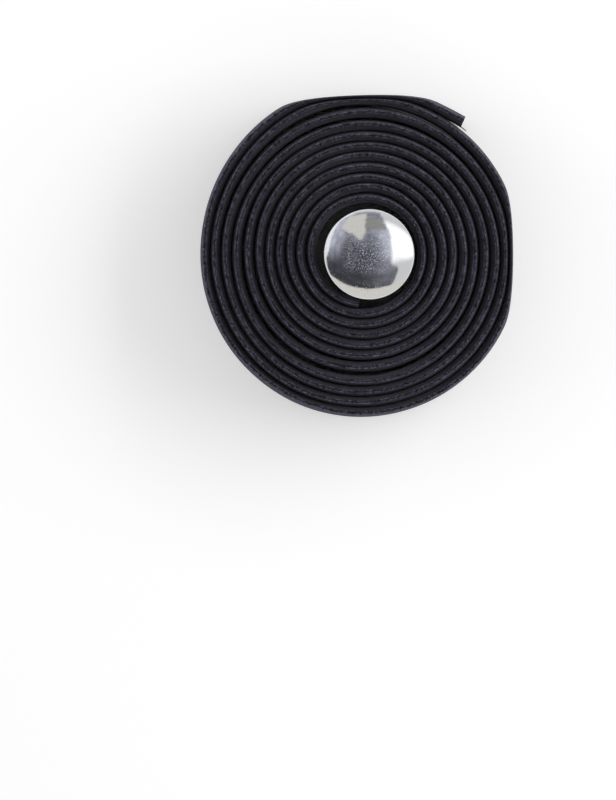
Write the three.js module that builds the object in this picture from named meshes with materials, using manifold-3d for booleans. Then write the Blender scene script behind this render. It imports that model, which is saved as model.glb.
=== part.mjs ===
// A roll of foam handlebar tape lying on its side edge, with a bar-end plug standing in its core.
// Millimetres, +Z up. The part stands on z = 0, and its box is centred over the origin.
import * as THREE from 'three';
import { mergeVertices } from 'three/addons/utils/BufferGeometryUtils.js';
import Module from 'manifold-3d';

const { clamp, degToRad, euclideanModulo, lerp, smoothstep } = THREE.MathUtils;

// The tape's own section: flat finished face outwards, back sloping away towards both edges.
const TAPE_WIDTH = 30;
const TAPE_THICKNESS = 2.5;
const EDGE_THICKNESS = 0.85;
const BEVEL_WIDTH = 6;
const EDGE_ROOM = 0.95; // wound under tension, the edges pull in until this much is left under their backs
const LIP_HEIGHT = 4; // how far from each edge the outer face starts to pull in

// The winding. Turns are counted outwards from the inner end, and run clockwise seen from above.
const TURNS = 10.585;
const INNER_END_ANGLE = degToRad(264);
const WINDING_CENTRE = new THREE.Vector2(-1.3, 0.35); // the plug's axis stands to one side of it

// Where the tape was wound slackly, the turns outside that place bulge: from one turn on, over some turns.
const BULGES = [
  { angle: degToRad(250), spread: degToRad(75), firstTurn: 5.3, turns: 2, height: 1.45 },
  { angle: degToRad(100), spread: degToRad(48), firstTurn: 7.8, turns: 1.5, height: 1.6 },
];

// Two sides are pressed flat, each by a depth at the outermost turn. The foam gives way over a softness.
const FLATS = [
  { angle: degToRad(0), depth: 0.8 },
  { angle: degToRad(92), depth: 2.2 },
];
const FLAT_SOFTNESS = 4;

// The cut end stands off the turn below it, and its inner edge reaches a little further along.
const TAIL_FREE_LENGTH = 10;
const TAIL_LIFT = 0.7;
const TAIL_CUT_LEAN = degToRad(13);

// Release paper over the adhesive on the tape's back. Its end sticks out past the tape's cut end.
const LINER_WIDTH = 10;
const LINER_THICKNESS = 0.1;
const LINER_CLEARANCE = 0.06;
const LINER_OVERHANG = 1.8;

// Bar-end plug: a chromed cap pressed over the head of a hollow plastic stem with soft ring fins.
const CAP_RADIUS = 12;
const CAP_SKIRT = 0.9;
const CAP_DOME = 4.2;
const CAP_WALL = 0.8;
const CAP_FIT = 0.3;
const CAP_ABOVE_TAPE = 0.3;
const CAP_OVERHANG = 2.6; // the cap's rim past the stem, where it stops against the end of the bar
const STEM_WALL = 1.6;
const STEM_ROOF = 2;
const STEM_NECK = 5; // bare length between the top fin and the cap
const FIN_REACH = 1.65;
const FIN_PITCH = 5.5;
const FIN_HEIGHT = 3;
const FIN_LAND = 0.6;
const LOWEST_FIN = 3;
const SLOT_PAIRS = 2;
const SLOT_WIDTH = 2;
const SLOT_DEPTH = 14;
const FIN_TO_LINER = 0.58; // where the inner end of the tape comes nearest to the fins

// Fineness of the facets.
const STEPS_PER_TURN = 32;
const TAIL_STEPS = 3;
const PLUG_SEGMENTS = 36;
const DOME_STEPS = 7;

const FULL_TURN = 2 * Math.PI;
const TURN_GAP = LINER_THICKNESS + 2 * LINER_CLEARANCE;
const TURN_PITCH = TAPE_THICKNESS + TURN_GAP;
const EDGE_DRAW_IN = TAPE_THICKNESS - EDGE_THICKNESS - EDGE_ROOM;
const STEM_RADIUS = CAP_RADIUS - CAP_OVERHANG;
const FIN_RADIUS = STEM_RADIUS + FIN_REACH;
const CAP_RIM_Z = TAPE_WIDTH + CAP_ABOVE_TAPE;

// Radius of the outer face at the inner end, from the winding's centre.
const INNER_END = new THREE.Vector2(Math.cos(INNER_END_ANGLE), Math.sin(INNER_END_ANGLE));
const CORE_RADIUS = FIN_RADIUS + FIN_TO_LINER + LINER_THICKNESS + LINER_CLEARANCE;
const FIRST_RADIUS = CORE_RADIUS + TAPE_THICKNESS - WINDING_CENTRE.dot(INNER_END);

const TAIL_RADIUS = FIRST_RADIUS + TURNS * TURN_PITCH;
const TAIL_FREE_TURNS = TAIL_FREE_LENGTH / (FULL_TURN * TAIL_RADIUS);

// Angle of a place on the winding, in turns from the inner end.
function windingAngle(turns) {
  return INNER_END_ANGLE - FULL_TURN * turns;
}

// Difference between two angles, between minus and plus half a turn.
function angleBetween(a, b) {
  return euclideanModulo(a - b + Math.PI, FULL_TURN) - Math.PI;
}

// How far the slack winding below pushes a turn out.
function slackBulge(turns, angle) {
  let height = 0;
  for (const bulge of BULGES) {
    const reach = angleBetween(angle, bulge.angle) / bulge.spread;
    const onset = smoothstep(turns, bulge.firstTurn, bulge.firstTurn + bulge.turns);
    height += bulge.height * Math.exp(-reach * reach) * onset;
  }
  return height;
}

// Radius of the outer face before anything presses on it.
function freeRadius(turns, angle) {
  return FIRST_RADIUS + TURN_PITCH * turns + slackBulge(turns, angle);
}

// Distance of a flat from the winding's centre, taken from the outermost turn that faces it.
function flatDistance(flat) {
  const outermost = TURNS - euclideanModulo(flat.angle - windingAngle(TURNS), FULL_TURN) / FULL_TURN;
  return freeRadius(outermost, flat.angle) - flat.depth;
}

// Foam near a flat is squeezed towards it and never passes it, so turns keep their order.
function pressFlat(radius, angle) {
  let pressed = radius;
  for (const flat of FLATS) {
    const facing = Math.cos(angleBetween(angle, flat.angle));
    if (facing <= 0) continue;
    const untouched = flatDistance(flat) / facing - FLAT_SOFTNESS;
    const excess = pressed - untouched;
    if (excess > 0) pressed = untouched + FLAT_SOFTNESS * (1 - Math.exp(-excess / FLAT_SOFTNESS));
  }
  return pressed;
}

// Point of the winding at a number of turns, a depth in from the outer face's middle, and a height.
function windingPoint(turns, depth, z) {
  const free = clamp((turns - TURNS + TAIL_FREE_TURNS) / TAIL_FREE_TURNS, 0, 1);
  const lead = depth * Math.tan(TAIL_CUT_LEAN) * free * free;
  const angle = windingAngle(turns + lead / (FULL_TURN * TAIL_RADIUS));
  const radius = pressFlat(freeRadius(turns, angle) - depth, angle) + TAIL_LIFT * free * free;
  return new THREE.Vector3(
    WINDING_CENTRE.x + radius * Math.cos(angle),
    WINDING_CENTRE.y + radius * Math.sin(angle),
    z,
  );
}

// Places along the winding: the same angles on every turn, so that the facets of neighbours are parallel.
function windingStations(lastTurn) {
  const stations = [];
  const freeFrom = TURNS - TAIL_FREE_TURNS;
  for (let step = 0; step / STEPS_PER_TURN < freeFrom; step += 1) stations.push(step / STEPS_PER_TURN);
  for (let step = 0; step <= TAIL_STEPS; step += 1) {
    stations.push(lerp(freeFrom, TURNS, step / TAIL_STEPS));
  }
  if (lastTurn > TURNS) stations.push(lastTurn);
  return stations;
}

// Closed solid that carries a section of [depth, height] points along the winding.
function windingSolid(section, lastTurn) {
  const stations = windingStations(lastTurn);
  const size = section.length;
  const positions = [];
  for (const turns of stations) {
    for (const [depth, z] of section) positions.push(...windingPoint(turns, depth, z).toArray());
  }
  const faces = [];
  for (let station = 0; station < stations.length - 1; station += 1) {
    for (let corner = 0; corner < size; corner += 1) {
      const here = station * size + corner;
      const next = station * size + ((corner + 1) % size);
      faces.push(here, here + size, next, next, here + size, next + size);
    }
  }
  const outline = section.map(([depth, z]) => new THREE.Vector2(depth, z));
  const lastStation = (stations.length - 1) * size;
  for (const [a, b, c] of THREE.ShapeUtils.triangulateShape(outline, [])) {
    faces.push(a, b, c);
    faces.push(lastStation + a, lastStation + c, lastStation + b);
  }
  const geometry = new THREE.BufferGeometry();
  geometry.setAttribute('position', new THREE.Float32BufferAttribute(positions, 3));
  geometry.setIndex(faces);
  geometry.computeVertexNormals();
  return geometry;
}

function tapeGeometry() {
  const inner = EDGE_DRAW_IN + EDGE_THICKNESS;
  const section = [
    [EDGE_DRAW_IN, 0],
    [inner, 0],
    [TAPE_THICKNESS, BEVEL_WIDTH],
    [TAPE_THICKNESS, TAPE_WIDTH - BEVEL_WIDTH],
    [inner, TAPE_WIDTH],
    [EDGE_DRAW_IN, TAPE_WIDTH],
    [0, TAPE_WIDTH - LIP_HEIGHT],
    [0, LIP_HEIGHT],
  ];
  return windingSolid(section, TURNS);
}

function linerGeometry() {
  const near = TAPE_THICKNESS + LINER_CLEARANCE;
  const far = near + LINER_THICKNESS;
  const low = (TAPE_WIDTH - LINER_WIDTH) / 2;
  const high = low + LINER_WIDTH;
  const section = [
    [near, low],
    [far, low],
    [far, high],
    [near, high],
  ];
  return windingSolid(section, TURNS + LINER_OVERHANG / (FULL_TURN * TAIL_RADIUS));
}

// Profile points of a dome from its edge up to the axis: an arc that stands on the given edge.
function domeArc(radius, height, baseZ) {
  const sphere = (radius * radius + height * height) / (2 * height);
  const edgeAngle = Math.asin(radius / sphere);
  const points = [];
  for (let step = 0; step <= DOME_STEPS; step += 1) {
    const angle = edgeAngle * (1 - step / DOME_STEPS);
    const rise = sphere * Math.cos(angle) - sphere + height;
    points.push(new THREE.Vector2(sphere * Math.sin(angle), baseZ + rise));
  }
  return points;
}

// Turned solid about the plug's axis, from a profile that starts at the lower end of the axis.
function turned(profile) {
  const geometry = new THREE.LatheGeometry(profile, PLUG_SEGMENTS);
  geometry.rotateX(Math.PI / 2);
  return geometry;
}

function capGeometry() {
  const skirtTop = CAP_RIM_Z + CAP_SKIRT;
  const inside = domeArc(CAP_RADIUS - CAP_WALL, CAP_DOME - CAP_WALL, skirtTop).reverse();
  const profile = [
    ...inside,
    new THREE.Vector2(CAP_RADIUS - CAP_WALL, CAP_RIM_Z),
    new THREE.Vector2(CAP_RADIUS, CAP_RIM_Z),
    ...domeArc(CAP_RADIUS, CAP_DOME, skirtTop),
  ];
  return turned(profile);
}

// Stem before its slots are cut: a cup open at the bottom, finned outside, with a domed head for the cap.
function stemBlank() {
  const bore = STEM_RADIUS - STEM_WALL;
  const roof = CAP_RIM_Z - STEM_ROOF;
  const headRadius = CAP_RADIUS - CAP_WALL - CAP_FIT;
  const profile = [
    new THREE.Vector2(0, roof),
    new THREE.Vector2(bore, roof),
    new THREE.Vector2(bore, 0),
    new THREE.Vector2(STEM_RADIUS, 0),
  ];
  const highestFin = CAP_RIM_Z - STEM_NECK - FIN_HEIGHT;
  for (let foot = LOWEST_FIN; foot <= highestFin; foot += FIN_PITCH) {
    profile.push(
      new THREE.Vector2(STEM_RADIUS, foot),
      new THREE.Vector2(FIN_RADIUS, foot + FIN_HEIGHT - FIN_LAND),
      new THREE.Vector2(FIN_RADIUS, foot + FIN_HEIGHT),
      new THREE.Vector2(STEM_RADIUS, foot + FIN_HEIGHT),
    );
  }
  profile.push(
    new THREE.Vector2(STEM_RADIUS, CAP_RIM_Z),
    new THREE.Vector2(headRadius, CAP_RIM_Z),
    ...domeArc(headRadius, CAP_DOME - CAP_WALL - CAP_FIT, CAP_RIM_Z + CAP_SKIRT),
  );
  return turned(profile);
}

// Boolean helpers: a closed geometry as a solid, and back.
const wasm = await Module();
wasm.setup();

function solidOf(geometry) {
  const bare = geometry.clone();
  bare.deleteAttribute('normal');
  bare.deleteAttribute('uv');
  const merged = mergeVertices(bare, 1e-4);
  return new wasm.Manifold(
    new wasm.Mesh({
      numProp: 3,
      vertProperties: Float32Array.from(merged.attributes.position.array),
      triVerts: Uint32Array.from(merged.index.array),
    }),
  );
}

function geometryOf(solid) {
  const mesh = solid.getMesh();
  const geometry = new THREE.BufferGeometry();
  geometry.setAttribute('position', new THREE.Float32BufferAttribute(mesh.vertProperties, 3));
  geometry.setIndex(Array.from(mesh.triVerts));
  geometry.computeVertexNormals();
  return geometry;
}

function stemGeometry() {
  let stem = solidOf(stemBlank());
  const reach = 2 * FIN_RADIUS + SLOT_WIDTH;
  for (let pair = 0; pair < SLOT_PAIRS; pair += 1) {
    const slot = new THREE.BoxGeometry(reach, SLOT_WIDTH, 2 * SLOT_DEPTH);
    slot.rotateZ((pair * Math.PI) / SLOT_PAIRS);
    stem = stem.subtract(solidOf(slot));
  }
  return geometryOf(stem);
}

const foam = new THREE.MeshStandardMaterial({ color: 0x1d1c20, roughness: 0.92, metalness: 0 });
const paper = new THREE.MeshStandardMaterial({ color: 0xe6ddcb, roughness: 0.7, metalness: 0 });
const chrome = new THREE.MeshStandardMaterial({ color: 0xe4e6ea, roughness: 0.06, metalness: 1 });
const plastic = new THREE.MeshStandardMaterial({ color: 0x161618, roughness: 0.5, metalness: 0 });

function piece(name, geometry, material) {
  const mesh = new THREE.Mesh(geometry, material);
  mesh.name = name;
  return mesh;
}

const roll = new THREE.Group();
roll.add(piece('tape', tapeGeometry(), foam));
roll.add(piece('release_liner', linerGeometry(), paper));
roll.add(piece('plug_cap', capGeometry(), chrome));
roll.add(piece('plug_stem', stemGeometry(), plastic));

// The roll is moved so that its box is centred over the origin.
const centre = new THREE.Box3().setFromObject(roll, true).getCenter(new THREE.Vector3());
roll.position.set(-centre.x, -centre.y, 0);

const part = new THREE.Group();
part.add(roll);

export default part;
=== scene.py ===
import math

import bmesh
import bpy
from mathutils import Matrix, Vector


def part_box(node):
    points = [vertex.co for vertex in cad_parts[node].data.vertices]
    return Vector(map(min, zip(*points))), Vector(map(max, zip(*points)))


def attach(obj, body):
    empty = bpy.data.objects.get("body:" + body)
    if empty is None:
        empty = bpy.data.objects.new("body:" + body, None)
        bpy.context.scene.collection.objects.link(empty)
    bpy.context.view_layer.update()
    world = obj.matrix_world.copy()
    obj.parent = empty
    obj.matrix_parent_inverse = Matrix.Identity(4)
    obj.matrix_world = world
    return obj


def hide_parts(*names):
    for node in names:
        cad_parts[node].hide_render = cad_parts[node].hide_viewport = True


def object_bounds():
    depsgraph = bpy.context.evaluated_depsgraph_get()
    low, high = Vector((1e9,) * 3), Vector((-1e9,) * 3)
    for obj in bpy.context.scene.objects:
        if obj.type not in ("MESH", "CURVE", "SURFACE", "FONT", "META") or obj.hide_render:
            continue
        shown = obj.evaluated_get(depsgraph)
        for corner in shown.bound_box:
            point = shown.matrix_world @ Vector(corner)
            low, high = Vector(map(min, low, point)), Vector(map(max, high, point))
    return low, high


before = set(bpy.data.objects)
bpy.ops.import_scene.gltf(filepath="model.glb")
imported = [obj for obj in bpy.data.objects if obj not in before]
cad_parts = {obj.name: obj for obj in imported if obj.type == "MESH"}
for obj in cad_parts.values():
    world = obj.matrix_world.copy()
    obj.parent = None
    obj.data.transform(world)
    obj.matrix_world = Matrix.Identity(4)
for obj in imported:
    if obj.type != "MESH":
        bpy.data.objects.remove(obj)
cad_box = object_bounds()

MM = 0.001
FULL_TURN = 2 * math.pi

# The tape's own section
TAPE_WIDTH = 30
TAPE_THICKNESS = 2.5
EDGE_THICKNESS = 0.85
BEVEL_WIDTH = 6
EDGE_ROOM = 0.95
EDGE_DRAW_IN = TAPE_THICKNESS - EDGE_THICKNESS - EDGE_ROOM
LIP_HEIGHT = 4
BACK_CLEARANCE = 0.03
RECESS_MARGIN = 0.3

# Release paper over the adhesive
LINER_WIDTH = 10
LINER_THICKNESS = 0.1
LINER_CLEARANCE = 0.06
LINER_OVERHANG = 1.8

# The winding, in turns counted outwards from the inner end
TURNS = 10.585
INNER_END_ANGLE = math.radians(264)
CENTRE_FROM_PLUG = (-1.3, 0.35)
TURN_PITCH = TAPE_THICKNESS + LINER_THICKNESS + 2 * LINER_CLEARANCE
BULGES = (
    {"angle": math.radians(250), "spread": math.radians(75), "first": 5.3, "over": 2, "height": 1.45},
    {"angle": math.radians(100), "spread": math.radians(48), "first": 7.8, "over": 1.5, "height": 1.6},
)
FLATS = (
    {"angle": math.radians(0), "depth": 0.8},
    {"angle": math.radians(92), "depth": 2.2},
)
FLAT_SOFTNESS = 4
TAIL_FREE_LENGTH = 10
TAIL_LIFT = 0.7
TAIL_CUT_LEAN = math.radians(13)
STATIONS = 2400

# Bar-end plug
CAP_RADIUS = 12
CAP_SKIRT = 0.9
CAP_DOME = 4.2
CAP_WALL = 0.8
CAP_FIT = 0.3
CAP_RIM_Z = TAPE_WIDTH + 0.3
STEM_RADIUS = CAP_RADIUS - 2.6
STEM_WALL = 1.6
STEM_ROOF = 2
STEM_NECK = 5
FIN_RADIUS = STEM_RADIUS + 1.65
FIN_PITCH = 5.5
FIN_HEIGHT = 3
FIN_LAND = 0.6
LOWEST_FIN = 3
SLOT_PAIRS = 2
SLOT_WIDTH = 2
SLOT_DEPTH = 14
FIN_TO_LINER = 0.58

CORE_RADIUS = FIN_RADIUS + FIN_TO_LINER + LINER_THICKNESS + LINER_CLEARANCE
CENTRE_TO_INNER_END = (
    CENTRE_FROM_PLUG[0] * math.cos(INNER_END_ANGLE) + CENTRE_FROM_PLUG[1] * math.sin(INNER_END_ANGLE)
)
FIRST_RADIUS = CORE_RADIUS + TAPE_THICKNESS - CENTRE_TO_INNER_END
TAIL_RADIUS = FIRST_RADIUS + TURNS * TURN_PITCH

# The plug's axis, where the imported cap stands
cap_low, cap_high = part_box("plug_cap")
PLUG_X = (cap_low[0] + cap_high[0]) / 2
PLUG_Y = (cap_low[1] + cap_high[1]) / 2


class Value:
    """A socket's value. An expression on numbers adds its Math nodes to the tree."""

    def __init__(self, tree, socket):
        self.tree = tree
        self.socket = socket

    def __getitem__(self, output):
        return Value(self.tree, self.socket.node.outputs[output])

    def __add__(self, other):
        return self.tree.maths("ADD", self, other)

    def __radd__(self, other):
        return self.tree.maths("ADD", other, self)

    def __sub__(self, other):
        return self.tree.maths("SUBTRACT", self, other)

    def __rsub__(self, other):
        return self.tree.maths("SUBTRACT", other, self)

    def __mul__(self, other):
        return self.tree.maths("MULTIPLY", self, other)

    def __rmul__(self, other):
        return self.tree.maths("MULTIPLY", other, self)

    def __truediv__(self, other):
        return self.tree.maths("DIVIDE", self, other)

    def __rtruediv__(self, other):
        return self.tree.maths("DIVIDE", other, self)

    def __pow__(self, other):
        return self.tree.maths("POWER", self, other)

    def __neg__(self):
        return self.tree.maths("MULTIPLY", self, -1)

    def __abs__(self):
        return self.tree.maths("ABSOLUTE", self)


class Tree:
    """A node tree that is written node by node."""

    def __init__(self, tree):
        self.tree = tree

    def add(self, kind, settings=None, sockets=None, output=0):
        """One node: its settings first, then its sockets' values or links. Gives one of its outputs."""
        node = self.tree.nodes.new(kind)
        for name, value in (settings or {}).items():
            if name == "stops":
                while len(node.color_ramp.elements) < len(value):
                    node.color_ramp.elements.new(1)
                for stop, (position, colour) in zip(node.color_ramp.elements, value):
                    stop.position = position
                    stop.color = colour
            else:
                setattr(node, name, value)
        for name, value in (sockets or {}).items():
            if isinstance(value, Value):
                self.tree.links.new(value.socket, node.inputs[name])
            else:
                node.inputs[name].default_value = value
        return Value(self, node.outputs[output]) if len(node.outputs) else None

    def maths(self, operation, *values):
        return self.add("ShaderNodeMath", {"operation": operation}, dict(enumerate(values)))

    def step(self, value, low, high):
        """Smooth step of a value, from 0 at low to 1 at high."""
        return self.add(
            "ShaderNodeMapRange",
            {"interpolation_type": "SMOOTHSTEP"},
            {"Value": value, "From Min": low, "From Max": high},
        )

    def vector(self, x, y, z):
        return self.add("ShaderNodeCombineXYZ", {}, {"X": x, "Y": y, "Z": z})

    def parts(self, vector):
        return self.add("ShaderNodeSeparateXYZ", {}, {"Vector": vector})

    def noise(self, vector, scale, detail=2, roughness=0.5):
        sockets = {"Vector": vector, "Scale": scale, "Detail": detail, "Roughness": roughness}
        return self.add("ShaderNodeTexNoise", {}, sockets)

    def speckles(self, vector, scale):
        """Scattered cells: each with a random colour, and the distance from its middle."""
        return self.add("ShaderNodeTexVoronoi", {}, {"Vector": vector, "Scale": scale, "Randomness": 1.0})

    def mix(self, factor, first, second, blend="MIX"):
        """Mixes two colours."""
        return self.add(
            "ShaderNodeMix",
            {"data_type": "RGBA", "blend_type": blend},
            {"Factor": factor, 6: first, 7: second},
            output=2,
        )

    def grey(self, value):
        """A number as a colour, for a factor on another colour."""
        return self.add("ShaderNodeCombineColor", {}, {"Red": value, "Green": value, "Blue": value})

    def inputs(self, defaults):
        kinds = {float: "NodeSocketFloat", int: "NodeSocketInt", tuple: "NodeSocketVector"}
        for name, value in defaults.items():
            kind = value if isinstance(value, str) else kinds[type(value)]
            socket = self.tree.interface.new_socket(name, in_out="INPUT", socket_type=kind)
            if not isinstance(value, str):
                socket.default_value = value
        node = self.tree.nodes.new("NodeGroupInput")
        return {name: Value(self, node.outputs[name]) for name in defaults}

    def finish(self, geometry, material):
        """Ends a geometry tree: instances made real, and a material on every face."""
        self.tree.interface.new_socket("Geometry", in_out="OUTPUT", socket_type="NodeSocketGeometry")
        real = self.add("GeometryNodeRealizeInstances", {}, {"Geometry": geometry})
        painted = self.add("GeometryNodeSetMaterial", {}, {"Geometry": real, "Material": material})
        self.add("NodeGroupOutput", {}, {"Geometry": painted})


def rgb(red, green, blue):
    return (red, green, blue, 1)


def new_material(name):
    made = bpy.data.materials.new(name)
    made.use_nodes = True
    made.node_tree.nodes.clear()
    return made, Tree(made.node_tree)


def finish_material(tree, shader):
    tree.add("ShaderNodeOutputMaterial", {}, {"Surface": shader})


# Foam: near black, a little violet, with open pores on its cut edges and a denser skin on its face. Painted
# highlight lines run along its lips, and painted light lifts the shade in its grooves
PORES_PER_METRE = 2400
FIBRES_PER_METRE = 1300
WORN_PATCHES_PER_METRE = 45
LIP_HIGHLIGHT_BREAKS_PER_METRE = 300
DUST_PER_METRE = 800
FACE_COLOUR = rgb(0.027, 0.0255, 0.036)
# Painted light: a lighter face near the edges, to lift the shade in the grooves
EDGE_GROOVE_LIGHT_COLOUR = rgb(0.050, 0.0475, 0.069)
BEVEL_COLOUR = rgb(0.0120, 0.0113, 0.0175)
# Painted light: a light middle of the back face, to lift the shade deep in the grooves
DEEP_GROOVE_LIGHT_COLOUR = rgb(0.113, 0.106, 0.133)
EDGE_COLOUR = rgb(0.0124, 0.0117, 0.0200)
# Painted highlight along the lips of the end faces
LIP_HIGHLIGHT_COLOUR = rgb(0.055, 0.053, 0.072)
CUT_COLOUR = rgb(0.020, 0.019, 0.024)
DUST_COLOUR = rgb(0.20, 0.20, 0.21)


def foam_material():
    """Reads the unrolled strip: its length, its depth from the face and its height, in metres."""
    made, tree = new_material("foam")
    place = tree.add("ShaderNodeAttribute", {"attribute_name": "unrolled"}, output="Vector")
    section = tree.parts(place)
    depth = section["Y"]
    to_edge = TAPE_WIDTH / 2 * MM - abs(section["Z"] - TAPE_WIDTH / 2 * MM)
    edge_face = 1 - tree.step(to_edge, 0.02 * MM, 0.5 * MM)
    from_lip = ((depth - (EDGE_DRAW_IN + 0.08) * MM) ** 2 + to_edge**2) ** 0.5
    from_back = ((depth - (EDGE_DRAW_IN + EDGE_THICKNESS - 0.12) * MM) ** 2 + to_edge**2) ** 0.5
    # Painted highlight: thin light lines at the lip's outer corner and at the back corner of each end face
    outer_lip_highlight = 1 - tree.step(from_lip, 0.04 * MM, 0.2 * MM)
    back_lip_highlight = 1 - tree.step(from_back, 0.04 * MM, 0.2 * MM)

    pores = tree.speckles(place, PORES_PER_METRE)
    cells = tree.parts(pores["Color"])["X"] ** 1.6 * tree.step(pores["Distance"], -0.1, 0.35)
    fibres = tree.step(tree.noise(place, FIBRES_PER_METRE, 2, 0.6), 0.34, 0.66)
    patches = tree.noise(place, WORN_PATCHES_PER_METRE, 2)
    highlight_breaks = tree.step(tree.noise(place, LIP_HIGHLIGHT_BREAKS_PER_METRE, 2), 0.3, 0.62)
    grain = 3.0 * cells + fibres * 0.3
    open_cells = 0.25 + 0.75 * (1 - tree.step(to_edge, 0.4 * MM, 1.8 * MM))
    tone = 1 + (grain - 1) * open_cells + (patches - 0.5) * 0.3
    highlight_lines = outer_lip_highlight * (0.6 + 0.4 * highlight_breaks) + back_lip_highlight * (0.25 + 0.3 * (1 - highlight_breaks))

    behind = tree.step(depth, (EDGE_DRAW_IN + 0.3) * MM, (EDGE_DRAW_IN + 0.8) * MM)
    # Painted light: the face is lighter within 1 to 7 mm of its edges, to lift the shade in the grooves;
    # the outermost turn shows it as lighter bands
    edge_groove_light = 1 - tree.step(to_edge, 1 * MM, 7 * MM)
    # Painted light: the back face gets much lighter from 0.8 to 4.5 mm in from its edges, to lift the shade
    # deep in the grooves
    deep_groove_light = tree.step(to_edge, 0.8 * MM, 4.5 * MM)
    front = tree.mix(edge_face, tree.mix(edge_groove_light, FACE_COLOUR, EDGE_GROOVE_LIGHT_COLOUR), EDGE_COLOUR)
    back = tree.mix(deep_groove_light, BEVEL_COLOUR, DEEP_GROOVE_LIGHT_COLOUR)
    cut = tree.add("ShaderNodeAttribute", {"attribute_name": "cut"}, output="Fac")
    colour = tree.mix(cut, tree.mix(behind, front, back), CUT_COLOUR)
    # The painted highlight lines are laid over the colour everywhere but on the cut end
    colour = tree.mix(highlight_lines * (1 - cut), colour, LIP_HIGHLIGHT_COLOUR)
    colour = tree.mix(1.0, colour, tree.grey(tone), "MULTIPLY")
    grains = tree.speckles(place, DUST_PER_METRE)
    rare = tree.step(tree.parts(grains["Color"])["X"], 0.955, 0.965)
    speck = rare * (1 - tree.step(grains["Distance"], 0.08, 0.16))
    colour = tree.mix(speck * 0.8, colour, DUST_COLOUR)

    bump = tree.add(
        "ShaderNodeBump",
        {},
        {"Strength": 0.6, "Distance": 0.00012, "Height": cells * 0.3 + fibres * 0.4},
    )
    shader = tree.add(
        "ShaderNodeBsdfPrincipled",
        {},
        {
            "Base Color": colour,
            "Roughness": 0.85 + 0.12 * fibres,
            "Specular IOR Level": 0.2,
            "Sheen Weight": 0.08,
            "Sheen Roughness": 0.6,
            "Sheen Tint": rgb(0.88, 0.86, 1.0),
            "Normal": bump,
        },
    )
    finish_material(tree, shader)
    return made


def paper_material():
    made, tree = new_material("release paper")
    place = tree.add("ShaderNodeAttribute", {"attribute_name": "unrolled"}, output="Vector")
    fibres = tree.noise(place, 1500, 3, 0.6)
    blotches = tree.noise(place, 120, 2)
    colour = tree.mix(blotches, rgb(0.60, 0.49, 0.33), rgb(0.74, 0.64, 0.47))
    colour = tree.mix(1.0, colour, tree.grey(0.8 + fibres * 0.35), "MULTIPLY")
    bump = tree.add("ShaderNodeBump", {}, {"Strength": 0.3, "Distance": 0.00003, "Height": fibres})
    shader = tree.add(
        "ShaderNodeBsdfPrincipled",
        {},
        {"Base Color": colour, "Roughness": 0.5 + 0.3 * fibres, "Normal": bump},
    )
    finish_material(tree, shader)
    return made


CHROME_SPECKS_PER_METRE = 2400


def chrome_material():
    made, tree = new_material("chrome plate")
    place = tree.add("ShaderNodeTexCoord", output="Object")
    smudges = tree.noise(place, 170, 3, 0.6)
    ripple = tree.noise(place, 330, 1)
    grains = tree.speckles(place, CHROME_SPECKS_PER_METRE)
    scattered = tree.step(tree.parts(grains["Color"])["X"], 0.2, 0.8)
    specks = scattered * (1 - tree.step(grains["Distance"], 0.2, 0.55))
    dusty = tree.step(tree.noise(place, 210, 2), 0.38, 0.6)
    specks = specks * (0.4 + 0.6 * dusty)
    colour = tree.mix(specks * 0.3, rgb(0.88, 0.89, 0.91), rgb(0.78, 0.80, 0.83))
    bump = tree.add(
        "ShaderNodeBump", {}, {"Strength": 0.25, "Distance": 0.00001, "Height": ripple + specks * 0.15}
    )
    shader = tree.add(
        "ShaderNodeBsdfPrincipled",
        {},
        {
            "Base Color": colour,
            "Metallic": 1.0,
            "Roughness": 0.04 + 0.06 * smudges + 0.24 * specks,
            "Normal": bump,
        },
    )
    finish_material(tree, shader)
    return made


def plastic_material():
    made, tree = new_material("moulded plastic")
    place = tree.add("ShaderNodeTexCoord", output="Object")
    grain = tree.noise(place, 2200, 2)
    flow = tree.noise(place, 130, 2)
    colour = tree.mix(flow, rgb(0.009, 0.009, 0.010), rgb(0.017, 0.017, 0.019))
    bump = tree.add("ShaderNodeBump", {}, {"Strength": 0.3, "Distance": 0.00004, "Height": grain})
    shader = tree.add(
        "ShaderNodeBsdfPrincipled",
        {},
        {"Base Color": colour, "Roughness": 0.38 + 0.2 * grain, "Normal": bump},
    )
    finish_material(tree, shader)
    return made


def linked(name, mesh):
    made = bpy.data.objects.new(name, mesh)
    bpy.context.scene.collection.objects.link(made)
    return made


def baked(piece):
    """The piece with its modifiers worked into a plain mesh."""
    depsgraph = bpy.context.evaluated_depsgraph_get()
    mesh = bpy.data.meshes.new_from_object(
        piece.evaluated_get(depsgraph), preserve_all_data_layers=True, depsgraph=depsgraph
    )
    piece.modifiers.clear()
    piece.data = mesh
    return piece


def smoothed(piece, sharp_from=35):
    for face in piece.data.polygons:
        face.use_smooth = True
    piece.data.set_sharp_from_angle(angle=math.radians(sharp_from))
    return piece


def given_to(piece, node):
    """Hangs the piece on the root body and hides the solid it stands for."""
    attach(piece, "root")
    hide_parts(node)


# Outlines

def eased(corners):
    """Points of an outline with corners (x, y, setback), each rounded off from its setback on."""
    points = []
    for index, (x, y, setback) in enumerate(corners):
        corner = Vector((x, y))
        if not setback:
            points.append(corner)
            continue
        before = Vector(corners[index - 1][:2]) - corner
        after = Vector(corners[(index + 1) % len(corners)][:2]) - corner
        start = corner + before.normalized() * setback
        end = corner + after.normalized() * setback
        steps = 4 if before.angle(after) < math.radians(150) else 2
        for step in range(steps + 1):
            share = step / steps
            points.append(start.lerp(corner, share).lerp(corner.lerp(end, share), share))
    return points


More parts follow.
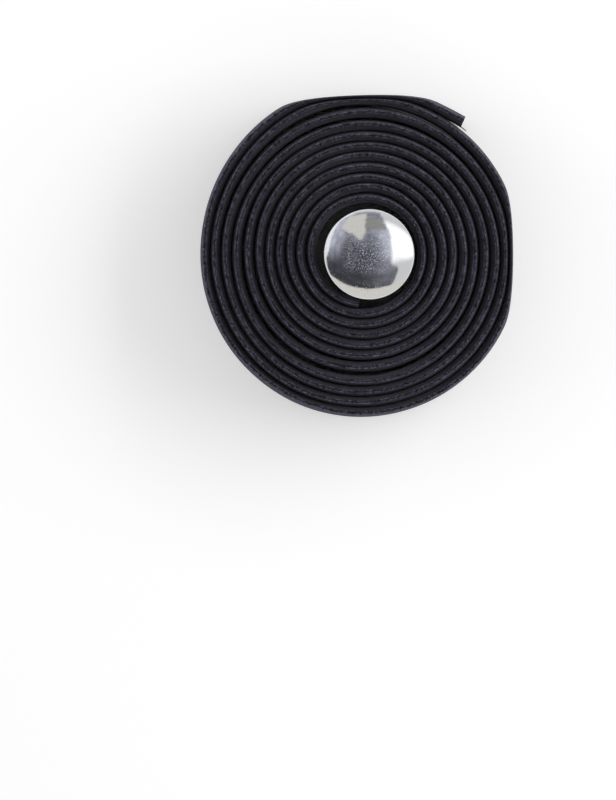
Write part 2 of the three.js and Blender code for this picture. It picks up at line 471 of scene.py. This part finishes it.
def outline_object(name, corners):
    """A closed outline of depth and height, as edges to sweep along the winding."""
    points = eased(corners)
    mesh = bpy.data.meshes.new(name)
    count = len(points)
    edges = [(index, (index + 1) % count) for index in range(count)]
    mesh.from_pydata([(point.x * MM, point.y * MM, 0) for point in points], edges, [])
    return linked(name, mesh)


# The winding, by the same rule as the solids

def free_radius(turns, angle):
    radius = FIRST_RADIUS + TURN_PITCH * turns
    for bulge in BULGES:
        reach = (angle - bulge["angle"] + math.pi) % FULL_TURN - math.pi
        onset = min(max((turns - bulge["first"]) / bulge["over"], 0), 1)
        onset = onset * onset * (3 - 2 * onset)
        radius += bulge["height"] * math.exp(-((reach / bulge["spread"]) ** 2)) * onset
    return radius


def flat_distance(flat):
    """Distance of a flat from the winding's centre, taken from the outermost turn that faces it."""
    last_angle = INNER_END_ANGLE - FULL_TURN * TURNS
    outermost = TURNS - ((flat["angle"] - last_angle) % FULL_TURN) / FULL_TURN
    return free_radius(outermost, flat["angle"]) - flat["depth"]


WINDING = {
    "Centre": (PLUG_X + CENTRE_FROM_PLUG[0] * MM, PLUG_Y + CENTRE_FROM_PLUG[1] * MM, 0.0),
    "Inner end angle": INNER_END_ANGLE,
    "First radius": FIRST_RADIUS * MM,
    "Turn pitch": TURN_PITCH * MM,
    "Tape width": TAPE_WIDTH * MM,
    "Flat softness": FLAT_SOFTNESS * MM,
    "Tape turns": TURNS,
    "Tail free turns": TAIL_FREE_LENGTH / (FULL_TURN * TAIL_RADIUS),
    "Tail lift": TAIL_LIFT * MM,
    "Tail cut slope": math.tan(TAIL_CUT_LEAN),
    "Tail radius": TAIL_RADIUS * MM,
    "Radius unevenness": 0.12 * MM,
    "Edge unevenness": 0.3 * MM,
    "Edge lean": 0.35 * MM,
}
for number, bulge in enumerate(BULGES, 1):
    WINDING[f"Bulge {number} angle"] = bulge["angle"]
    WINDING[f"Bulge {number} spread"] = bulge["spread"]
    WINDING[f"Bulge {number} first turn"] = bulge["first"]
    WINDING[f"Bulge {number} last turn"] = bulge["first"] + bulge["over"]
    WINDING[f"Bulge {number} height"] = bulge["height"] * MM
for number, flat in enumerate(FLATS, 1):
    WINDING[f"Flat {number} angle"] = flat["angle"]
    WINDING[f"Flat {number} distance"] = flat_distance(flat) * MM


def winding_tree():
    """Sweeps an outline of depth and height round the roll."""
    group = bpy.data.node_groups.new("winding", "GeometryNodeTree")
    tree = Tree(group)
    given = tree.inputs(
        {
            "Outline": "NodeSocketGeometry",
            "Material": "NodeSocketMaterial",
            "Last turn": TURNS,
            "Stations": STATIONS,
            **WINDING,
        }
    )
    outline = tree.add("GeometryNodeMeshToCurve", {}, {"Mesh": given["Outline"]})
    path = tree.add("GeometryNodeCurvePrimitiveLine", {}, {"End": tree.vector(given["Last turn"], 0, 0)})
    path = tree.add("GeometryNodeResampleCurve", {}, {"Curve": path, "Count": given["Stations"]})
    strip = tree.add(
        "GeometryNodeCurveToMesh", {}, {"Curve": path, "Profile Curve": outline, "Fill Caps": True}
    )
    swept = tree.parts(tree.add("GeometryNodeInputPosition"))
    turns = swept["X"]
    depth = -swept["Y"]
    height = -swept["Z"]

    length = FULL_TURN * turns * (given["First radius"] + given["Turn pitch"] * turns * 0.5)
    strip = tree.add(
        "GeometryNodeStoreNamedAttribute",
        {"data_type": "FLOAT_VECTOR"},
        {"Geometry": strip, "Name": "unrolled", "Value": tree.vector(length, depth, height)},
    )

    # Before it is wound, the strip's cut ends face along it
    across = tree.parts(tree.add("GeometryNodeInputNormal"))["X"]
    strip = tree.add(
        "GeometryNodeStoreNamedAttribute",
        {"data_type": "FLOAT", "domain": "FACE"},
        {"Geometry": strip, "Name": "cut", "Value": tree.step(abs(across), 0.5, 0.9)},
    )

    def wander(waves, seed):
        """Noise along the tape, about -1 to 1, with a number of waves in each turn."""
        noise = tree.add(
            "ShaderNodeTexNoise",
            {"noise_dimensions": "1D"},
            {"W": turns * waves + seed, "Scale": 1.0, "Detail": 1.0},
        )
        return (noise - 0.5) * 2

    free = (turns - given["Tape turns"]) / given["Tail free turns"] + 1
    free = tree.maths("MINIMUM", tree.maths("MAXIMUM", free, 0), 1)
    lead = depth * given["Tail cut slope"] * free * free
    angle = given["Inner end angle"] - turns * FULL_TURN - lead / given["Tail radius"]
    slack = 0
    for number in range(1, len(BULGES) + 1):
        names = ("angle", "spread", "first turn", "last turn", "height")
        bulge = {name: given[f"Bulge {number} {name}"] for name in names}
        between = tree.maths("WRAP", angle - bulge["angle"], math.pi, -math.pi)
        reach = between / bulge["spread"]
        onset = tree.step(turns, bulge["first turn"], bulge["last turn"])
        slack = slack + bulge["height"] * tree.maths("EXPONENT", -(reach * reach)) * onset

    middle = given["Tape width"] * 0.5
    towards_edge = abs((height - middle) / middle) ** 4
    lean = towards_edge * given["Edge lean"] * wander(5.0, 31.0)
    uneven = given["Radius unevenness"] * wander(7.0, 5.0)
    radius = given["First radius"] + given["Turn pitch"] * turns + slack - depth + uneven + lean
    softness = given["Flat softness"]
    for number in range(1, len(FLATS) + 1):
        facing = tree.maths("COSINE", angle - given[f"Flat {number} angle"])
        facing = tree.maths("MAXIMUM", facing, 0.05)
        untouched = given[f"Flat {number} distance"] / facing - softness
        excess = tree.maths("MAXIMUM", radius - untouched, 0)
        radius = radius - excess + softness * (1 - tree.maths("EXPONENT", -excess / softness))
    radius = radius + given["Tail lift"] * free * free

    dip = given["Edge unevenness"] * (0.5 + 0.3 * wander(1.7, 11.0) + 0.2 * wander(19.0, 2.0))
    level = height - dip * (height / given["Tape width"])
    centre = tree.parts(given["Centre"])
    wound = tree.vector(
        centre["X"] + radius * tree.maths("COSINE", angle),
        centre["Y"] + radius * tree.maths("SINE", angle),
        level,
    )
    roll = tree.add("GeometryNodeSetPosition", {}, {"Geometry": strip, "Position": wound})
    roll = tree.add("GeometryNodeFlipFaces", {}, {"Mesh": roll})
    tree.finish(roll, given["Material"])
    return group


def wound_piece(name, group, corners, material, last_turn):
    """An outline swept along the winding, as a plain mesh."""
    piece = outline_object(name, corners)
    modifier = piece.modifiers.new("winding", "NODES")
    modifier.node_group = group
    values = {**WINDING, "Material": material, "Last turn": last_turn, "Stations": STATIONS}
    for socket in group.interface.items_tree:
        if socket.in_out == "INPUT" and socket.name in values:
            modifier[socket.identifier] = values[socket.name]
    return smoothed(baked(piece))


winding = winding_tree()

back_corner = EDGE_DRAW_IN + EDGE_THICKNESS
pressed_back = TURN_PITCH - BACK_CLEARANCE
recess_low = (TAPE_WIDTH - LINER_WIDTH) / 2 - RECESS_MARGIN
recess_high = TAPE_WIDTH - recess_low
tape = wound_piece(
    "foam_tape",
    winding,
    (
        (EDGE_DRAW_IN, 0, 0.15),
        (back_corner, 0, 0.22),
        (pressed_back, BEVEL_WIDTH, 2),
        (pressed_back, recess_low, 0),
        (TAPE_THICKNESS, recess_low + RECESS_MARGIN, 0),
        (TAPE_THICKNESS, recess_high - RECESS_MARGIN, 0),
        (pressed_back, recess_high, 0),
        (pressed_back, TAPE_WIDTH - BEVEL_WIDTH, 2),
        (back_corner, TAPE_WIDTH, 0.22),
        (EDGE_DRAW_IN, TAPE_WIDTH, 0.15),
        (0, TAPE_WIDTH - LIP_HEIGHT, 1.6),
        (0, LIP_HEIGHT, 1.6),
    ),
    foam_material(),
    TURNS,
)
given_to(tape, "tape")

liner_near = TAPE_THICKNESS + LINER_CLEARANCE
liner_low = (TAPE_WIDTH - LINER_WIDTH) / 2
liner = wound_piece(
    "liner_paper",
    winding,
    (
        (liner_near, liner_low, 0),
        (liner_near + LINER_THICKNESS, liner_low, 0),
        (liner_near + LINER_THICKNESS, liner_low + LINER_WIDTH, 0),
        (liner_near, liner_low + LINER_WIDTH, 0),
    ),
    paper_material(),
    TURNS + LINER_OVERHANG / (FULL_TURN * TAIL_RADIUS),
)
given_to(liner, "release_liner")


# The plug

PLUG_SEGMENTS = 128
DOME_STEPS = 18


def dome(radius, height, base):
    """Corners of a dome from its edge up to the axis."""
    sphere = (radius * radius + height * height) / (2 * height)
    edge_angle = math.asin(radius / sphere)
    points = []
    for step in range(DOME_STEPS + 1):
        angle = edge_angle * (1 - step / DOME_STEPS)
        points.append((sphere * math.sin(angle), base + sphere * math.cos(angle) - sphere + height, 0))
    return points


def turned(name, corners):
    """A profile of (radius, height, setback), from axis to axis, turned about the plug's axis."""
    form = bmesh.new()
    ring = [form.verts.new((PLUG_X + point.x * MM, PLUG_Y, point.y * MM)) for point in eased(corners)]
    edges = [form.edges.new(pair) for pair in zip(ring, ring[1:])]
    bmesh.ops.spin(
        form,
        geom=ring + edges,
        cent=(PLUG_X, PLUG_Y, 0),
        axis=(0, 0, 1),
        angle=FULL_TURN,
        steps=PLUG_SEGMENTS,
    )
    bmesh.ops.remove_doubles(form, verts=form.verts, dist=0.002 * MM)
    bmesh.ops.recalc_face_normals(form, faces=form.faces)
    mesh = bpy.data.meshes.new(name)
    form.to_mesh(mesh)
    form.free()
    return linked(name, mesh)


skirt_top = CAP_RIM_Z + CAP_SKIRT
cap_inside = dome(CAP_RADIUS - CAP_WALL, CAP_DOME - CAP_WALL, skirt_top)[::-1]
cap_outside = dome(CAP_RADIUS, CAP_DOME, skirt_top)
cap_outside[0] = (*cap_outside[0][:2], 0.35)
cap = turned(
    "chrome_cap",
    [*cap_inside, (CAP_RADIUS - CAP_WALL, CAP_RIM_Z, 0.25), (CAP_RADIUS, CAP_RIM_Z, 0.35), *cap_outside],
)
cap.data.materials.append(chrome_material())
smoothed(cap, 60)
given_to(cap, "plug_cap")


def stem_corners():
    """Profile of the stem: a cup open at the bottom, finned outside, with a domed head under the cap."""
    bore = STEM_RADIUS - STEM_WALL
    roof = CAP_RIM_Z - STEM_ROOF
    head = CAP_RADIUS - CAP_WALL - CAP_FIT
    corners = [(0, roof, 0), (bore, roof, 0.5), (bore, 0, 0.3), (STEM_RADIUS, 0, 0.5)]
    foot = LOWEST_FIN
    while foot <= CAP_RIM_Z - STEM_NECK - FIN_HEIGHT:
        corners += [
            (STEM_RADIUS, foot, 0.3),
            (FIN_RADIUS, foot + FIN_HEIGHT - FIN_LAND, 0.2),
            (FIN_RADIUS, foot + FIN_HEIGHT, 0.2),
            (STEM_RADIUS, foot + FIN_HEIGHT, 0.3),
        ]
        foot += FIN_PITCH
    corners += [(STEM_RADIUS, CAP_RIM_Z, 0.3), (head, CAP_RIM_Z, 0.2)]
    return corners + dome(head, CAP_DOME - CAP_WALL - CAP_FIT, skirt_top)


def slot_cutter():
    """Bars across the axis, one for each pair of slots."""
    form = bmesh.new()
    size = Vector((2 * FIN_RADIUS + SLOT_WIDTH, SLOT_WIDTH, 2 * SLOT_DEPTH)) * MM
    for pair in range(SLOT_PAIRS):
        made = bmesh.ops.create_cube(form, size=1)["verts"]
        bmesh.ops.scale(form, vec=size, verts=made)
        turn = Matrix.Rotation(pair * math.pi / SLOT_PAIRS, 3, "Z")
        bmesh.ops.rotate(form, cent=(0, 0, 0), matrix=turn, verts=made)
        bmesh.ops.translate(form, vec=(PLUG_X, PLUG_Y, 0), verts=made)
    mesh = bpy.data.meshes.new("slot_cutter")
    form.to_mesh(mesh)
    form.free()
    return linked("slot_cutter", mesh)


stem = turned("plug_body", stem_corners())
stem.data.materials.append(plastic_material())
cutter = slot_cutter()
slots = stem.modifiers.new("slots", "BOOLEAN")
slots.operation = "DIFFERENCE"
slots.object = cutter
slots.use_self = True
smoothed(baked(stem), 40)
bpy.data.objects.remove(cutter)
given_to(stem, "plug_stem")


# Studio: a pale floor, soft light from the sides, and a card that only reflections see

CARD_HEIGHT = 0.98
LAMP_HEIGHT = 0.9
WORLD_LEVEL = 0.62
FLOOR_GREY = 0.80
FLOOR_GLOW = 0.36
GLOW_FROM = 39.8
GLOW_FULL_FROM = 41


def seen(tree):
    """1 for rays that see the background, from the camera or in metal and glass."""
    path = tree.add("ShaderNodeLightPath")
    rays = path["Is Camera Ray"] + path["Is Glossy Ray"] + path["Is Transmission Ray"]
    return tree.maths("MINIMUM", rays, 1)


def floor():
    """A pale floor. Its glow, which only makes it look white, stays outside the roll and its gaps."""
    made, tree = new_material("floor")
    place = tree.add("ShaderNodeTexCoord", output="Object")
    middle = ((cad_box[0][0] + cad_box[1][0]) / 2, (cad_box[0][1] + cad_box[1][1]) / 2, 0)
    from_middle = tree.add(
        "ShaderNodeVectorMath", {"operation": "DISTANCE"}, {0: place, 1: middle}, output="Value"
    )
    outside = tree.step(from_middle, GLOW_FROM * MM, GLOW_FULL_FROM * MM)
    diffuse = tree.add("ShaderNodeBsdfDiffuse", {}, {"Color": rgb(FLOOR_GREY, FLOOR_GREY, FLOOR_GREY)})
    glow = tree.grey(FLOOR_GLOW * outside * seen(tree))
    glow = tree.add("ShaderNodeEmission", {}, {"Color": glow, "Strength": 1.0})
    shader = tree.add("ShaderNodeAddShader", {}, {0: diffuse, 1: glow})
    finish_material(tree, shader)
    mesh = bpy.data.meshes.new("floor")
    reach = 12
    mesh.from_pydata(
        [(-reach, -reach, 0), (reach, -reach, 0), (reach, reach, 0), (-reach, reach, 0)], [], [(0, 1, 2, 3)]
    )
    mesh.materials.append(made)
    linked("floor", mesh)


def studio_card():
    """The room as the cap reflects it, painted on a wide card over the roll. Only reflections see it.

    Places on the card are counted from above the cap, in card heights.
    """
    made, tree = new_material("studio card")
    place = tree.add("ShaderNodeTexCoord", output="Object")
    spot = tree.parts(place)
    wobble = tree.noise(place, 2.2, 3) - 0.5
    x = (spot["X"] - PLUG_X) / CARD_HEIGHT + wobble * 0.25
    y = (spot["Y"] - PLUG_Y) / CARD_HEIGHT + wobble * 0.2

    # A dark ceiling with soft edges
    low = 1 - tree.step(y, -0.6, -0.2)
    left_edge = -2.2 - 0.7 * (1 - tree.step(y, -0.3, 0.4))
    right_edge = 0.68 + 0.42 * low
    ceiling = tree.step(x, left_edge - 0.15, left_edge + 0.1)
    ceiling = ceiling * (1 - tree.step(x, right_edge - 0.08, right_edge + 0.14))
    ceiling = ceiling * (1 - tree.step(y, 2.6, 3.1))

    # Light that falls on the ceiling, its streaks and its fine glints
    glow = tree.maths("EXPONENT", -(((x - 0.68) / 0.4) ** 2) - ((y - 0.25) / 0.6) ** 2)
    shade = 0.05 + 0.2 * tree.step(y, -0.15, 1.0) + 0.07 * tree.step(x, -0.3, 0.6) * low + 0.55 * glow
    shade = shade + 0.22 * tree.step(-x, 0.75, 1.3) * tree.step(y, -0.5, 0.3)
    streaks = tree.noise(tree.vector(x * 9, y * 1.2, 0.0), 1.0, 3)
    clouds = tree.step(tree.noise(tree.vector(x * 2.5, y * 2.5, 4.0), 1.0, 3), 0.3, 0.7)
    shade = shade * (0.35 + 0.9 * streaks + 0.45 * clouds)
    frosted = tree.step(y, -0.72, -0.35) * (1 - tree.step(y, 0.45, 0.95))
    frosted = frosted * tree.step(x, -1.2, -0.6) * (1 - tree.step(x, 0.55, 0.85))
    glints = tree.step(tree.noise(tree.vector(x * 29, y * 29, 9.0), 1.0, 1), 0.53, 0.67)
    shade = shade * (1 - 0.25 * frosted) + 0.5 * glints * frosted

    # The bright walls round it, brightest at the lamp
    lamp = tree.step(x, 0, 0.4) * tree.step(y, -0.4, 0.0) * (1 - tree.step(y, 1.1, 1.9))
    bright = 0.62 + 0.26 * tree.step(-x, 1, 1.5) * tree.step(y, -0.5, 0.2) + 0.6 * lamp

    # Cream sheets: one with a pointed lower edge, a darker fold beside it, and one along the near side
    sheet_edge = tree.maths("MAXIMUM", -(x + 0.26), 0) * 0.75 + 0.45
    sheet = tree.step(y, sheet_edge - 0.05, sheet_edge + 0.08) * (1 - tree.step(y, 2.2, 2.6))
    sheet = sheet * tree.step(x, -1.4, -1.25) * (1 - tree.step(x, -0.2, -0.08))

    shade = tree.mix(1.0, tree.grey(shade), rgb(0.96, 0.98, 1.13), "MULTIPLY")
    colour = tree.mix(ceiling, tree.grey(bright), shade)
    fold = tree.step(x, -0.28, -0.2) * (1 - tree.step(x, 0.58, 0.68))
    fold = fold * tree.step(y, 0.86, 0.94) * (1 - tree.step(y, 1.5, 1.7))
    colour = tree.mix(fold, colour, rgb(0.27, 0.265, 0.245))
    colour = tree.mix(sheet, colour, rgb(0.62, 0.60, 0.55))
    colour = tree.mix(1 - tree.step(y, -1.48, -1.38), colour, rgb(0.66, 0.64, 0.585))
    finish_material(tree, tree.add("ShaderNodeEmission", {}, {"Color": colour, "Strength": 1.0}))
    mesh = bpy.data.meshes.new("studio_card")
    reach = 4 * CARD_HEIGHT
    corners = ((-reach, -reach), (-reach, reach), (reach, reach), (reach, -reach))
    mesh.from_pydata([(PLUG_X + x, PLUG_Y + y, CARD_HEIGHT) for x, y in corners], [], [(0, 1, 2, 3)])
    mesh.materials.append(made)
    plane = linked("studio_card", mesh)
    plane.visible_camera = False
    plane.visible_diffuse = False
    plane.visible_shadow = False
    plane.visible_transmission = False


def softbox(name, left, right, near, far, level, height=LAMP_HEIGHT):
    """A lamp that faces down, its sides in heights from the cap."""
    light = bpy.data.lights.new(name, "AREA")
    light.shape = "RECTANGLE"
    light.size = (right - left) * height
    light.size_y = (far - near) * height
    light.energy = level * math.pi * light.size * light.size_y
    lamp = linked(name, light)
    lamp.location = (PLUG_X + (left + right) / 2 * height, PLUG_Y + (near + far) / 2 * height, height)
    lamp.visible_camera = False
    lamp.visible_glossy = False


def studio():
    floor()
    studio_card()
    softbox("right_softbox", 0.66, 2.4, -0.3, 1.3, 3.0)
    softbox("left_softbox", -4.2, -2.2, -1, 2, 4.0)

    world = bpy.data.worlds.new("studio")
    bpy.context.scene.world = world
    world.use_nodes = True
    world.node_tree.nodes.clear()
    tree = Tree(world.node_tree)
    sight = seen(tree)
    sky = tree.add("ShaderNodeBackground", {}, {"Strength": sight + (1 - sight) * WORLD_LEVEL})
    tree.add("ShaderNodeOutputWorld", {}, {"Surface": sky})


# Camera straight above, at the photograph's framing of 616 by 800

CAMERA_DISTANCE = 4
MM_PER_PIXEL = 0.2623
FRAME_WIDTH = 616
FRAME_HEIGHT = 800
CAP_PIXEL = (369.2, 254.3)


def camera():
    data = bpy.data.cameras.new("camera")
    data.sensor_width = 36
    data.lens = data.sensor_width * CAMERA_DISTANCE / (FRAME_HEIGHT * MM_PER_PIXEL * MM)
    data.clip_start = 0.01
    data.clip_end = 50
    made = linked("camera", data)
    made.location = (
        PLUG_X - (CAP_PIXEL[0] - FRAME_WIDTH / 2) * MM_PER_PIXEL * MM,
        PLUG_Y + (CAP_PIXEL[1] - FRAME_HEIGHT / 2) * MM_PER_PIXEL * MM,
        TAPE_WIDTH * MM + CAMERA_DISTANCE,
    )
    bpy.context.scene.camera = made


studio()
camera()
bpy.context.scene.view_settings.view_transform = "Standard"
